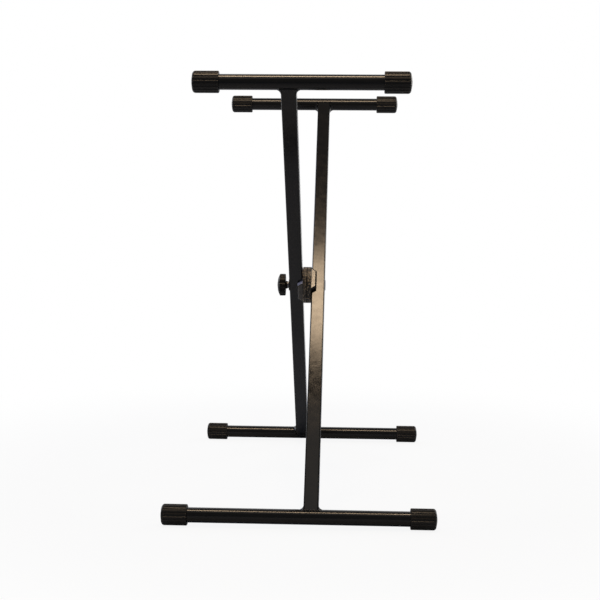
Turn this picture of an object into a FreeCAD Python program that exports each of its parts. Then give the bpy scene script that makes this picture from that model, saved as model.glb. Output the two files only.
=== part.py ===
import FreeCAD, Part
import math
import os
import Sketcher

# Folding X keyboard stand: two crossed square legs, four round bars with ribbed rubber caps,
# and a toothed clutch at the pivot that a knob on the left draws shut.
# X runs along the bars, -Y is the near side, +Z is up, and the origin is on the floor under the pivot.

# Driving sizes: millimetres, degrees and counts
SIZES = [
    ("half_angle", "42.5", "lean of each leg from upright, as it stands"),
    ("pivot_to_bar", "478", "pivot axis to each bar's axis"),
    ("leg_width", "25", "square leg tube, across flats"),
    ("leg_wall", "1.5", "leg tube wall"),
    ("leg_corner", "2.5", "leg tube outer corner radius"),
    ("leg_gap", "16", "between the legs' inner faces with the clutch slack"),
    ("leg_setback", "6.5", "leg end plane to bar axis"),
    ("cope_clearance", "0.05", "leg cope to bar"),
    ("bar_diameter", "25", "round bar tube"),
    ("bar_wall", "1.5", "bar tube wall"),
    ("top_bar_length", "340", "bare top bar"),
    ("base_bar_length", "445", "bare base bar"),
    ("cap_wall", "5", "rubber cap, bar to rib crest"),
    ("cap_length", "44", "rubber cap overall"),
    ("cap_end_wall", "5", "rubber cap closed end"),
    ("cap_clearance", "0.05", "cap bore to bar, radial"),
    ("rib_count", "20", "ribs round a cap"),
    ("rib_height", "1.1", "rib crest above the cap's core"),
    ("rib_crest", "2.2", "flat on a rib's crest"),
    ("rib_foot", "3.8", "rib width where it leaves the core"),
    ("rib_bed", "0.8", "rib sunk into the core"),
    ("cap_dome", "1.6", "bulge of the closed end"),
    ("cap_nose_length", "5", "rounding between rib and closed end, along the bar"),
    ("cap_nose_drop", "5.5", "rounding between rib and closed end, towards the axis"),
    ("cap_nose_radius", "6", "rounding between rib and closed end"),
    ("cap_lip", "1.4", "rounding of the open end"),
    ("weld_clearance", "0.02", "weld to bar, radial"),
    ("weld_leg", "6", "side weld, leg length"),
    ("weld_hollow", "7", "side weld, radius of its hollow face"),
    ("weld_sweep", "118", "side weld, angle round the bar"),
    ("bead_diameter", "4.6", "weld bead across a leg's front and back"),
    ("bead_angle", "64", "bead's place round the bar, from the leg's axis"),
    ("bead_proud", "0.3", "bead centre outside the bar's surface"),
    ("disc_diameter", "67.5", "clutch half"),
    ("disc_edge", "0.8", "bevel at the clutch half's back"),
    ("tooth_count", "72", "clutch teeth"),
    ("tooth_height", "1.15", "tooth at the rim"),
    ("tooth_gap", "0.3", "crest to crest with the clutch slack"),
    ("tooth_ring", "44", "inner diameter of the toothed ring"),
    ("tooth_land_share", "0.08", "flat on crest and root, as a share of the pitch"),
    ("groove_rise_share", "1.2", "groove cutter above the pitch plane, in half tooth heights"),
    ("face_gap", "6", "between the clutch halves' middle faces with the clutch slack"),
    ("pocket_diameter", "16.5", "spring pocket"),
    ("pocket_depth", "3.2", "spring pocket"),
    ("hub_bore", "8.6", "clutch half's bore"),
    ("ear_height", "9.5", "saddle ear along the pivot axis"),
    ("ear_thickness", "8", "saddle ear"),
    ("ear_margin", "1", "saddle ear's foot corners to the disc's edge"),
    ("ear_rake", "7", "lean of each end of a saddle ear, foot to tip"),
    ("ear_round", "2.8", "saddle ear's outer edges"),
    ("ear_clearance", "0.05", "saddle ear to leg"),
    ("screw_diameter", "4", "clutch screw's shank"),
    ("screw_head", "7.6", "clutch screw's head, diameter"),
    ("screw_head_height", "2.1", "clutch screw's countersunk head"),
    ("screw_length", "10", "clutch screw overall"),
    ("screw_reach", "15.5", "clutch screw's axis to the pivot"),
    ("screw_clearance", "0.05", "clutch screw to its holes, radial"),
    ("spring_wire", "1.2", "clutch spring's wire"),
    ("spring_diameter", "12.2", "clutch spring, middle of the wire"),
    ("spring_turns", "4", "clutch spring's turns"),
    ("seat_diameter", "15.6", "spring seat washer"),
    ("seat_thickness", "1", "spring seat washer"),
    ("bolt_diameter", "8", "pivot bolt"),
    ("bolt_running", "0.1", "pivot bolt to what turns on it, radial"),
    ("bolt_head_flats", "13", "hex head across flats"),
    ("bolt_head_height", "5.3", "hex head"),
    ("bolt_tip", "1", "bevel at the bolt's end"),
    ("head_clearance", "0.1", "hex head to its pocket, per flat"),
    ("bush_diameter", "18.8", "both pivot bushes"),
    ("bush_clearance", "0.1", "bush to the hole that it goes in by, radial"),
    ("bush_floor", "6", "right bush under the bolt's head"),
    ("plug_flange", "20", "hole plug's flange, diameter"),
    ("plug_flange_thickness", "0.8", "hole plug's flange"),
    ("plug_depth", "3.5", "hole plug's skirt into the leg"),
    ("plug_wall", "1.6", "hole plug's skirt"),
    ("washer_diameter", "21", "knob washer"),
    ("washer_thickness", "1.6", "knob washer"),
    ("washer_bore", "8.4", "knob washer and spring seat washer"),
    ("collar_diameter", "12.5", "knob insert's bare collar"),
    ("collar_length", "2.6", "knob insert's bare collar"),
    ("insert_diameter", "10.4", "knob insert inside the knob"),
    ("insert_length", "11", "knob insert inside the knob"),
    ("knob_hub", "14.5", "knob's neck, diameter"),
    ("knob_hub_length", "3.4", "knob's neck"),
    ("knob_diameter", "41", "knob"),
    ("knob_rim", "11.2", "knob's rim along the axis"),
    ("knob_dome", "4.8", "knob's domed face beyond the rim"),
    ("knob_edge", "1.6", "rounding of the knob's rim"),
    ("knob_skin", "3", "knob's face over the bolt's end"),
    ("lobe_count", "10", "finger hollows round the knob"),
    ("lobe_diameter", "11", "finger hollow"),
    ("lobe_depth", "1.3", "finger hollow"),
    ("clutch_travel", "1.25", "closing travel of the clutch"),
    ("bolt_end_gap", "1", "bolt's end to the knob's face with the clutch shut"),
    ("overrun", "2", "cuts run past what they cut"),
]

# Places worked out from the driving sizes
PLACES = [
    ("rise", "Sizes.pivot_to_bar * cos(Sizes.half_angle)"),
    ("spread", "Sizes.pivot_to_bar * sin(Sizes.half_angle)"),
    ("pivot_height", "Sizes.pivot_to_bar * cos(Sizes.half_angle) + Sizes.bar_diameter / 2 + Sizes.cap_wall"),
    ("leg_half", "Sizes.leg_width / 2"),
    ("leg_inner", "Sizes.leg_gap / 2"),
    ("leg_center", "Sizes.leg_gap / 2 + Sizes.leg_width / 2"),
    ("leg_outer", "Sizes.leg_gap / 2 + Sizes.leg_width"),
    ("bar_radius", "Sizes.bar_diameter / 2"),
    ("crest_radius", "Sizes.bar_diameter / 2 + Sizes.cap_wall"),
    ("core_radius", "Sizes.bar_diameter / 2 + Sizes.cap_wall - Sizes.rib_height"),
    ("pitch_plane", "Sizes.tooth_gap / 2 + Sizes.tooth_height / 2"),
    ("flank_rise", "Sizes.tooth_height / Sizes.disc_diameter"),
    ("half_pitch", "tan(180 / Sizes.tooth_count)"),
    ("tooth_phase", "mod(Sizes.half_angle + 90 / Sizes.tooth_count; 180 / Sizes.tooth_count)"),
    ("pocket_floor", "Sizes.face_gap / 2 + Sizes.pocket_depth"),
    ("saddle_half", "Sizes.leg_width / 2 + Sizes.ear_clearance"),
    ("saddle_flank", "Sizes.leg_width / 2 + Sizes.ear_clearance + Sizes.ear_thickness"),
    ("ear_foot", "sqrt((Sizes.disc_diameter / 2 - Sizes.ear_margin)^2"
                 " - (Sizes.leg_width / 2 + Sizes.ear_clearance + Sizes.ear_thickness)^2)"),
    ("running_bore", "Sizes.bolt_diameter + 2 * Sizes.bolt_running"),
    ("entry_hole", "Sizes.bush_diameter + 2 * Sizes.bush_clearance"),
    ("head_seat", "Sizes.leg_gap / 2 + Sizes.leg_wall + Sizes.bush_floor"),
    ("knob_seat", "Sizes.leg_gap / 2 + Sizes.leg_width + Sizes.washer_thickness"),
    ("knob_back", "Sizes.collar_length + Sizes.knob_hub_length"),
    ("knob_front", "Sizes.collar_length + Sizes.knob_hub_length + Sizes.knob_rim"),
    ("knob_tip", "Sizes.collar_length + Sizes.knob_hub_length + Sizes.knob_rim + Sizes.knob_dome"),
]


doc = FreeCAD.newDocument("KeyboardStand")
sizes = doc.addObject("Spreadsheet::Sheet", "Sizes")
places = doc.addObject("Spreadsheet::Sheet", "Places")
probe = doc.addObject("App::FeaturePython", "Probe")
sub_parts = []


def fill_sheets():
    """Put the driving sizes in one sheet, and the places worked out from them in another."""
    for row, (alias, number, meaning) in enumerate(SIZES, start=1):
        sizes.set(f"A{row}", meaning)
        sizes.set(f"B{row}", number)
        sizes.setAlias(f"B{row}", alias)
    doc.recompute()
    for row, (alias, formula) in enumerate(PLACES, start=1):
        places.set(f"A{row}", "=" + formula)
        places.setAlias(f"A{row}", alias)
    doc.recompute()


def value(expression):
    """Number that an expression over the sheets gives now."""
    result = probe.evalExpression(expression)
    return float(getattr(result, "Value", result))


# Helpers for bodies and sketches

def new_body(name, placement):
    """Body of one sub-part, placed by an expression."""
    body = doc.addObject("PartDesign::Body", name)
    body.Label = name
    body.setExpression("Placement", placement)
    sub_parts.append(body)
    return body


def clone(master, name, placement):
    """Another piece of the same shape as a body, placed by an expression."""
    body = new_body(name, placement)
    new_feature(body, "FeatureBase", "shape", BaseFeature=master)
    return body


def origin_of(body, role):
    """Plane or axis of a body's own origin."""
    return next(item for item in body.Origin.OriginFeatures if item.Role == role)


def new_sketch(body, role, name, offset=None):
    """Sketch on one of the body's own planes, moved by an offset if one is given."""
    sketch = body.newObject("Sketcher::SketchObject", f"{body.Name}_{name}")
    sketch.AttachmentSupport = [(origin_of(body, role), "")]
    sketch.MapMode = "FlatFace"
    if offset:
        sketch.setExpression("AttachmentOffset", offset)
    return sketch


def bind(sketch, kind, geometry, position, expression):
    """Distance from the sketch's origin to a point, held to an expression."""
    constraint = Sketcher.Constraint(kind, -1, 1, geometry, position, value(expression))
    index = sketch.addConstraint(constraint)
    sketch.setExpression(f"Constraints[{index}]", expression)


def arc_between(start, end, radius):
    """Arc from start to end: a positive radius bulges to the left of the way, a negative one to the right."""
    chord = end - start
    left = FreeCAD.Vector(-chord.y, chord.x, 0).normalize()
    size = abs(radius)
    sagitta = size - math.sqrt(size ** 2 - (chord.Length / 2) ** 2)
    middle = (start + end) / 2 + left * math.copysign(sagitta, radius)
    return Part.Arc(start, middle, end)


def outline(sketch, points, arcs=None):
    """Closed outline through points given as pairs of expressions; arcs maps an edge to its radius."""
    arcs = arcs or {}
    count = len(points)
    first = sketch.GeometryCount
    spots = [FreeCAD.Vector(value(across), value(up), 0) for across, up in points]
    ends = []
    for edge in range(count):
        start = spots[edge]
        end = spots[(edge + 1) % count]
        if edge in arcs:
            sketch.addGeometry(arc_between(start, end, value(arcs[edge])))
            ends.append((2, 1) if value(arcs[edge]) > 0 else (1, 2))
        else:
            sketch.addGeometry(Part.LineSegment(start, end))
            ends.append((1, 2))
    for edge in range(count):
        after = (edge + 1) % count
        link = Sketcher.Constraint("Coincident", first + edge, ends[edge][1], first + after, ends[after][0])
        sketch.addConstraint(link)
    for edge, (across, up) in enumerate(points):
        bind(sketch, "DistanceX", first + edge, ends[edge][0], across)
        bind(sketch, "DistanceY", first + edge, ends[edge][0], up)
    for edge, radius in arcs.items():
        size = f"abs({radius})"
        index = sketch.addConstraint(Sketcher.Constraint("Radius", first + edge, value(size)))
        sketch.setExpression(f"Constraints[{index}]", size)


def rectangle(sketch, low_x, low_y, high_x, high_y):
    """Rectangle between two corners given as expressions."""
    outline(sketch, [(low_x, low_y), (high_x, low_y), (high_x, high_y), (low_x, high_y)])


def circle(sketch, diameter, across="0", up="0"):
    """Circle given by expressions."""
    spot = FreeCAD.Vector(value(across), value(up), 0)
    shape = Part.Circle(spot, FreeCAD.Vector(0, 0, 1), value(diameter) / 2)
    index = sketch.addGeometry(shape)
    bind(sketch, "DistanceX", index, 3, across)
    bind(sketch, "DistanceY", index, 3, up)
    size = sketch.addConstraint(Sketcher.Constraint("Diameter", index, value(diameter)))
    sketch.setExpression(f"Constraints[{size}]", diameter)


def hexagon(sketch, flats):
    """Hexagon round the sketch's origin, its size across flats given by an expression."""
    sides = 6
    reach = f"({flats}) / 2 / cos(180 / {sides})"
    turns = [f"(360 / {sides} * {corner})" for corner in range(sides)]
    outline(sketch, [(f"{reach} * cos{turn}", f"{reach} * sin{turn}") for turn in turns])


def new_feature(body, kind, name, **settings):
    """Feature of a body, which becomes its tip."""
    feature = body.newObject(f"PartDesign::{kind}", f"{body.Name}_{name}")
    for setting, content in settings.items():
        setattr(feature, setting, content)
    body.Tip = feature
    return feature


def pad(body, sketch, name, length, side="One side", reverse=False):
    """Pad of a length given by an expression."""
    feature = new_feature(body, "Pad", name, Profile=sketch, SideType=side, Reversed=reverse)
    feature.setExpression("Length", length)
    return feature


def must_remove(body, feature, before):
    """A cut has to take something away."""
    doc.recompute()
    if not body.Shape.Volume < before:
        raise RuntimeError(f"{feature.Label} cuts nothing")


def pocket(body, sketch, name, length=None, reverse=False):
    """Pocket of a given length, or right through both ways."""
    doc.recompute()
    before = body.Shape.Volume
    feature = new_feature(body, "Pocket", name, Profile=sketch, Reversed=reverse)
    if length:
        feature.setExpression("Length", length)
    else:
        feature.Type = "ThroughAll"
        feature.SideType = "Symmetric"
    must_remove(body, feature, before)
    return feature


def revolve(body, sketch, name, angle="360", halfway=False):
    """Revolution about the sketch's horizontal axis."""
    feature = new_feature(body, "Revolution", name, Profile=sketch, Midplane=halfway)
    feature.ReferenceAxis = (sketch, ["H_Axis"])
    feature.setExpression("Angle", angle)
    return feature


def groove(body, sketch, name):
    """Turned cut about the sketch's horizontal axis."""
    doc.recompute()
    before = body.Shape.Volume
    feature = new_feature(body, "Groove", name, Profile=sketch)
    feature.ReferenceAxis = (sketch, ["H_Axis"])
    feature.Angle = 360
    must_remove(body, feature, before)
    return feature


def polar(body, feature, name, count):
    """Copies of a feature all round the X axis."""
    axis = (origin_of(body, "X_Axis"), [""])
    pattern = new_feature(body, "PolarPattern", name, Originals=[feature], Axis=axis, Refine=False)
    pattern.Angle = 360
    pattern.setExpression("Occurrences", count)
    return pattern


def mirrored(body, features, name, role):
    """Mirror image of features in one of the body's planes."""
    plane = (origin_of(body, role), [""])
    return new_feature(body, "Mirrored", name, Originals=features, MirrorPlane=plane)


def turned(name, points, placement, arcs=None):
    """Body turned about the X axis, from an outline of (x, radius) points."""
    body = new_body(name, placement)
    sketch = new_sketch(body, "XZ_Plane", "profile")
    outline(sketch, points, arcs)
    revolve(body, sketch, "turning")
    return body


def at(across="0", along="0", up="Places.pivot_height", rotation="rotationx(0)"):
    """Placement expression from the expressions of its parts."""
    return f"placement(vector({across}; {along}; {up}); {rotation})"


# How each leg stands: the left one is the same piece turned round
RIGHT_TURN = "rotationx(-Sizes.half_angle)"
LEFT_TURN = "rotationx(Sizes.half_angle) * rotationz(180)"
FACE_LEFT = "rotationz(180)"


# Legs and bars

def make_leg(name, placement):
    """Square tube, coped over both bars, with the pivot's and the clutch screws' holes."""
    body = new_body(name, placement)
    section = new_sketch(body, "XY_Plane", "section")
    rectangle(section, "-Places.leg_half", "-Places.leg_half", "Places.leg_half", "Places.leg_half")
    inside = "Places.leg_half - Sizes.leg_wall"
    rectangle(section, f"-({inside})", f"-({inside})", inside, inside)
    tube = pad(body, section, "tube", "2 * (Sizes.pivot_to_bar - Sizes.leg_setback)", side="Symmetric")
    doc.recompute()
    half = value("Places.leg_half")
    corners = [f"Edge{index}" for index, edge in enumerate(tube.Shape.Edges, start=1)
               if all(math.isclose(abs(spot), half) for end in edge.Vertexes for spot in (end.X, end.Y))
               and math.isclose(edge.Vertexes[0].X, edge.Vertexes[-1].X)
               and math.isclose(edge.Vertexes[0].Y, edge.Vertexes[-1].Y)]
    rounding = new_feature(body, "Fillet", "corners", Base=(tube, corners))
    rounding.setExpression("Radius", "Sizes.leg_corner")
    copes = new_sketch(body, "YZ_Plane", "copes")
    for end in ("", "-"):
        circle(copes, "Sizes.bar_diameter + 2 * Sizes.cope_clearance", up=f"{end}Sizes.pivot_to_bar")
    pocket(body, copes, "coping")
    inner_holes = new_sketch(body, "YZ_Plane", "inner_holes")
    circle(inner_holes, "Sizes.hub_bore")
    for end in ("", "-"):
        circle(inner_holes, "Sizes.screw_diameter + 2 * Sizes.screw_clearance", up=f"{end}Sizes.screw_reach")
    pocket(body, inner_holes, "inner_drilling", length="Sizes.leg_width")
    outer_hole = new_sketch(body, "YZ_Plane", "outer_hole")
    circle(outer_hole, "Places.entry_hole")
    pocket(body, outer_hole, "outer_drilling", length="Sizes.leg_width", reverse=True)
    return body


def make_bar(name, length, placement):
    """Round tube."""
    body = new_body(name, placement)
    section = new_sketch(body, "YZ_Plane", "section")
    circle(section, "Sizes.bar_diameter")
    circle(section, "Sizes.bar_diameter - 2 * Sizes.bar_wall")
    pad(body, section, "tube", length, side="Symmetric")


def make_weld(name, placement):
    """Ring of weld where a leg meets a bar: hollow fillets at the sides, beads across front and back."""
    body = new_body(name, placement)
    profile = new_sketch(body, "XZ_Plane", "profile")
    toe = "Places.leg_half + Sizes.weld_leg"
    crown = "Places.bar_radius + Sizes.weld_leg"
    outline(profile, [("Places.leg_half", "Places.bar_radius"), (toe, "Places.bar_radius"),
                      ("Places.leg_half", crown)], arcs={1: "Sizes.weld_hollow"})
    side = revolve(body, profile, "side", angle="Sizes.weld_sweep", halfway=True)
    mirrored(body, [side], "sides", "YZ_Plane")
    section = new_sketch(body, "YZ_Plane", "bead_section")
    reach = "(Places.bar_radius + Sizes.bead_proud)"
    circle(section, "Sizes.bead_diameter", across=f"{reach} * sin(Sizes.bead_angle)",
           up=f"{reach} * cos(Sizes.bead_angle)")
    bead = pad(body, section, "bead", "Sizes.leg_width + Sizes.weld_leg", side="Symmetric")
    mirrored(body, [bead], "beads", "XZ_Plane")
    bar = new_sketch(body, "YZ_Plane", "bar")
    circle(bar, "Sizes.bar_diameter + 2 * Sizes.weld_clearance")
    pocket(body, bar, "bar_cut")
    doc.recompute()
    before = body.Shape.Volume
    leg = new_feature(body, "SubtractiveBox", "leg_cut")
    leg.setExpression("Length", "Sizes.leg_width")
    leg.setExpression("Width", "Sizes.leg_width")
    leg.setExpression("Height", "Places.bar_radius + Sizes.weld_leg")
    leg.setExpression("Placement", at("-Places.leg_half", "-Places.leg_half", "Sizes.leg_setback"))
    must_remove(body, leg, before)
    return body


def make_cap(name, placement):
    """Ribbed rubber cup on a bar's end, with one rib straight down and one straight up."""
    body = new_body(name, placement)
    bore = "Places.bar_radius + Sizes.cap_clearance"
    depth = "Sizes.cap_length - Sizes.cap_end_wall"
    cup = new_sketch(body, "XZ_Plane", "cup")
    outline(cup, [("0", bore), ("0", "Places.core_radius"), ("Sizes.cap_length", "Places.core_radius"),
                  ("Sizes.cap_length", "0"), (depth, "0"), (depth, bore)])
    revolve(body, cup, "core")
    rib = new_sketch(body, "YZ_Plane", "rib")
    bed = "-(Places.core_radius - Sizes.rib_bed)"
    outline(rib, [("-Sizes.rib_foot / 2", bed), ("-Sizes.rib_crest / 2", "-Places.crest_radius"),
                  ("Sizes.rib_crest / 2", "-Places.crest_radius"), ("Sizes.rib_foot / 2", bed)])
    polar(body, pad(body, rib, "one_rib", "Sizes.cap_length"), "ribs", "Sizes.rib_count")
    beyond = "Places.crest_radius + Sizes.overrun"
    nose = new_sketch(body, "XZ_Plane", "nose")
    shoulder = "(Places.crest_radius - Sizes.cap_nose_drop)"
    shoulder_end = "Sizes.cap_length - Sizes.cap_dome"
    nose_start = "Sizes.cap_length - Sizes.cap_dome - Sizes.cap_nose_length"
    dome = f"({shoulder}^2 + Sizes.cap_dome^2) / (2 * Sizes.cap_dome)"
    outline(nose, [(nose_start, "Places.crest_radius"), (shoulder_end, shoulder), ("Sizes.cap_length", "0"),
                   ("Sizes.cap_length + Sizes.overrun", "0"), ("Sizes.cap_length + Sizes.overrun", beyond),
                   (nose_start, beyond)], arcs={0: "Sizes.cap_nose_radius", 1: dome})
    groove(body, nose, "nose_rounding")
    lip = new_sketch(body, "XZ_Plane", "lip")
    outline(lip, [("0", "Places.crest_radius - Sizes.cap_lip"), ("Sizes.cap_lip", "Places.crest_radius"),
                  ("Sizes.cap_lip", beyond), ("-Sizes.overrun", beyond),
                  ("-Sizes.overrun", "Places.crest_radius - Sizes.cap_lip")], arcs={0: "Sizes.cap_lip"})
    groove(body, lip, "lip_rounding")
    return body


# Clutch

def tooth_groove(body, name, radius):
    """Section of the groove between two teeth, at one radius: its flanks all meet on the pivot axis."""
    phase = "Places.tooth_phase"
    offset = at("0", f"-({radius}) * sin({phase})", f"({radius}) * cos({phase})", f"rotationx({phase})")
    sketch = new_sketch(body, "XY_Plane", name, offset)
    root = f"Places.pitch_plane + ({radius}) * Places.flank_rise"
    mouth = f"Places.pitch_plane - ({radius}) * Places.flank_rise * Sizes.groove_rise_share"
    root_half = f"({radius}) * Places.half_pitch * Sizes.tooth_land_share"
    flare_share = "(1 + Sizes.groove_rise_share * (1 - 2 * Sizes.tooth_land_share)) / 2"
    mouth_half = f"({radius}) * Places.half_pitch * {flare_share}"
    outline(sketch, [(root, f"-({root_half})"), (root, root_half),
                     (mouth, mouth_half), (mouth, f"-({mouth_half})")])
    return sketch


def make_clutch_half(name, placement):
    """Toothed disc with a saddle for its leg, a spring pocket and two countersunk screw holes."""
    rim = "Sizes.disc_diameter / 2"
    ring = "Sizes.tooth_ring / 2"
    bore = "Sizes.hub_bore / 2"
    well = "Sizes.pocket_diameter / 2"
    face = "Sizes.face_gap / 2"
    inner_crest = f"Places.pitch_plane - {ring} * Places.flank_rise"
    body = turned(name, [
        ("Places.leg_inner", bore), ("Places.leg_inner", f"{rim} - Sizes.disc_edge"),
        ("Places.leg_inner - Sizes.disc_edge", rim), ("Sizes.tooth_gap / 2", rim), (inner_crest, ring),
        (face, ring), (face, well), ("Places.pocket_floor", well), ("Places.pocket_floor", bore)], placement)
    ears = new_sketch(body, "XZ_Plane", "ears")
    tip = "Places.leg_inner + Sizes.ear_height"
    tip_end = "(Places.ear_foot - Sizes.ear_rake)"
    outline(ears, [("Places.leg_inner", "-Places.ear_foot"), ("Places.leg_inner", "Places.ear_foot"),
                   (tip, tip_end), (tip, f"-{tip_end}")])
    block = pad(body, ears, "saddle", "2 * Places.saddle_flank", side="Symmetric")
    doc.recompute()
    flank = value("Places.saddle_flank")
    back = value("Places.leg_inner")
    edges = [f"Edge{index}" for index, edge in enumerate(block.Shape.Edges, start=1)
             if all(math.isclose(abs(end.Y), flank) for end in edge.Vertexes)
             and math.isclose(edge.Vertexes[0].Y, edge.Vertexes[-1].Y)
             and max(end.X for end in edge.Vertexes) > back + value("Sizes.ear_round")]
    rounding = new_feature(body, "Fillet", "ear_edges", Base=(block, edges))
    rounding.setExpression("Radius", "Sizes.ear_round")
    channel = new_sketch(body, "XY_Plane", "channel")
    outside = f"{tip} + Sizes.overrun"
    rectangle(channel, "Places.leg_inner", "-Places.saddle_half", outside, "Places.saddle_half")
    pocket(body, channel, "leg_channel")
    seat = at(face, "0", "Sizes.screw_reach", "rotationy(90)")
    sink = new_feature(body, "SubtractiveCone", "screw_sink")
    sink.setExpression("Radius1", "Sizes.screw_head / 2 + Sizes.screw_clearance")
    sink.setExpression("Radius2", "Sizes.screw_diameter / 2 + Sizes.screw_clearance")
    sink.setExpression("Height", "Sizes.screw_head_height")
    sink.setExpression("Placement", seat)
    hole = new_feature(body, "SubtractiveCylinder", "screw_hole")
    hole.setExpression("Radius", "Sizes.screw_diameter / 2 + Sizes.screw_clearance")
    hole.setExpression("Height", "Sizes.screw_length")
    hole.setExpression("Placement", seat)
    mirrored(body, [sink, hole], "screw_holes", "XY_Plane")
    doc.recompute()
    before = body.Shape.Volume
    inner_end = tooth_groove(body, "groove_inside", f"{ring} - Sizes.overrun")
    outer_end = tooth_groove(body, "groove_outside", f"{rim} + Sizes.overrun")
    notch = new_feature(body, "SubtractiveLoft", "notch", Profile=inner_end, Sections=[outer_end], Ruled=True)
    polar(body, notch, "teeth", "Sizes.tooth_count")
    must_remove(body, notch, before)
    return body


def make_screws(name, placement):
    """Two countersunk screws, which hold a clutch half on its leg."""
    screws = []
    for end, sign in (("upper", ""), ("lower", "-")):
        seat = at("Sizes.face_gap / 2", "0", f"{sign}Sizes.screw_reach", "rotationy(90)")
        head = doc.addObject("Part::Cone", f"{name}_{end}_head")
        head.setExpression("Radius1", "Sizes.screw_head / 2")
        head.setExpression("Radius2", "Sizes.screw_diameter / 2")
        head.setExpression("Height", "Sizes.screw_head_height")
        head.setExpression("Placement", seat)
        shank = doc.addObject("Part::Cylinder", f"{name}_{end}_shank")
        shank.setExpression("Radius", "Sizes.screw_diameter / 2")
        shank.setExpression("Height", "Sizes.screw_length")
        shank.setExpression("Placement", seat)
        screw = doc.addObject("Part::Fuse", f"{name}_{end}")
        screw.Base = head
        screw.Tool = shank
        screws.append(screw)
    group = doc.addObject("Part::Compound", name)
    group.Label = name
    group.Links = screws
    group.setExpression("Placement", placement)
    sub_parts.append(group)


# Clutch spring: a round wire wound on a helix about the pivot axis

def biarc(start, leaving, end, arriving):
    """Two arcs that run smoothly from one point and direction to another."""
    span = end - start
    turn = leaving + arriving
    spread = 2 * (1 - leaving.dot(arriving))
    reach = (math.sqrt(span.dot(turn) ** 2 + spread * span.dot(span)) - span.dot(turn)) / spread
    joint = (start + end + (leaving - arriving) * reach) / 2
    return [arc_from(start, leaving, joint), arc_from(end, arriving * -1, joint)]


def arc_from(start, direction, end):
    """Arc that leaves a point along a unit direction and ends at another point."""
    chord = end - start
    along = FreeCAD.Vector(chord).normalize()
    lean = direction - along * direction.dot(along)
    bulge = math.tan(math.acos(direction.dot(along)) / 2) * chord.Length / 2
    return Part.Arc(start, start + chord / 2 + lean.normalize() * bulge, end).toShape()


def make_spring(name):
    """Open-wound spring from the seat washer to the right half's pocket."""
    wire = value("Sizes.spring_wire")
    radius = value("Sizes.spring_diameter / 2")
    turns = value("Sizes.spring_turns")
    low = value("-Places.pocket_floor + Sizes.seat_thickness + Sizes.spring_wire / 2")
    high = value("Places.pocket_floor - Sizes.spring_wire / 2")

    def spot(share):
        angle = 2 * math.pi * turns * share
        return FreeCAD.Vector(low + (high - low) * share, radius * math.sin(angle), radius * math.cos(angle))

    def direction(share):
        angle = 2 * math.pi * turns * share
        sideways = 2 * math.pi * turns * radius
        way = FreeCAD.Vector(high - low, sideways * math.cos(angle), -sideways * math.sin(angle))
        return way.normalize()

    quarters = round(4 * turns)
    path = []
    for quarter in range(quarters):
        begin = quarter / quarters
        finish = (quarter + 1) / quarters
        path += biarc(spot(begin), direction(begin), spot(finish), direction(finish))
    section = Part.Wire(Part.makeCircle(wire / 2, spot(0), direction(0)))
    coil = Part.Wire(Part.__sortEdges__(path)).makePipeShell([section], True, False)
    samples_per_turn = 24
    samples = [spot(step / (samples_per_turn * turns)) for step in range(round(samples_per_turn * turns) + 1)]
    apart = [samples[one].distanceToPoint(samples[two]) for one in range(len(samples))
             for two in range(one + samples_per_turn // 2, len(samples))]
    print(f"{name}: least gap between turns {min(apart) - wire:.2f} mm")
    spring = doc.addObject("Part::Feature", name)
    spring.Label = name
    spring.Shape = coil
    pivot = FreeCAD.Vector(0, 0, value("Places.pivot_height"))
    spring.Placement = FreeCAD.Placement(pivot, FreeCAD.Rotation())
    sub_parts.append(spring)


# Pivot bolt, bushes and plug

def make_bolt(name):
    """Hex bolt, its head in the right leg and its end in the knob."""
    radius = "Sizes.bolt_diameter / 2"
    end = ("-(Places.head_seat + Places.knob_seat + Places.knob_tip"
           " - Sizes.knob_skin - Sizes.bolt_end_gap - Sizes.clutch_travel)")
    body = turned(name, [("0", "0"), ("0", radius), (f"{end} + Sizes.bolt_tip", radius),
                         (end, f"{radius} - Sizes.bolt_tip"), (end, "0")], at("Places.head_seat"))
    head = new_sketch(body, "YZ_Plane", "head")
    hexagon(head, "Sizes.bolt_head_flats")
    pad(body, head, "hex_head", "Sizes.bolt_head_height")


def make_right_bush(name):
    """Bush inside the right leg, with a hex pocket that keeps the bolt's head from turning."""
    outer = "Sizes.bush_diameter / 2"
    bore = "Places.running_bore / 2"
    length = "Sizes.leg_width - Sizes.leg_wall - Sizes.plug_depth"
    body = turned(name, [("0", bore), ("0", outer), (length, outer), (length, bore)],
                  at("Places.leg_inner + Sizes.leg_wall"))
    seat = "placement(vector(0; 0; Sizes.bush_floor); rotationx(0))"
    head = new_sketch(body, "YZ_Plane", "head", seat)
    hexagon(head, "Sizes.bolt_head_flats + 2 * Sizes.head_clearance")
    pocket(body, head, "head_pocket", length="Sizes.leg_width", reverse=True)


def make_left_bush(name):
    """Bush through the left leg, flush with its outer face, on which the leg turns round the bolt."""
    outer = "Sizes.bush_diameter / 2"
    bore = "Places.running_bore / 2"
    length = "Sizes.leg_width - Sizes.leg_wall"
    turned(name, [("0", bore), ("0", outer), (length, outer), (length, bore)],
           at("-(Places.leg_inner + Sizes.leg_wall)", rotation=FACE_LEFT))


def make_plug(name):
    """Snap-in plug that closes the hole in the right leg's outer wall."""
    skirt = "Sizes.bush_diameter / 2"
    hollow = f"{skirt} - Sizes.plug_wall"
    flange = "Sizes.plug_flange / 2"
    turned(name, [("0", "0"), ("0", hollow), ("-Sizes.plug_depth", hollow), ("-Sizes.plug_depth", skirt),
                  ("0", skirt), ("0", flange), ("Sizes.plug_flange_thickness", skirt),
                  ("Sizes.plug_flange_thickness", "0")], at("Places.leg_outer"))


# Washers and knob

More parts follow.
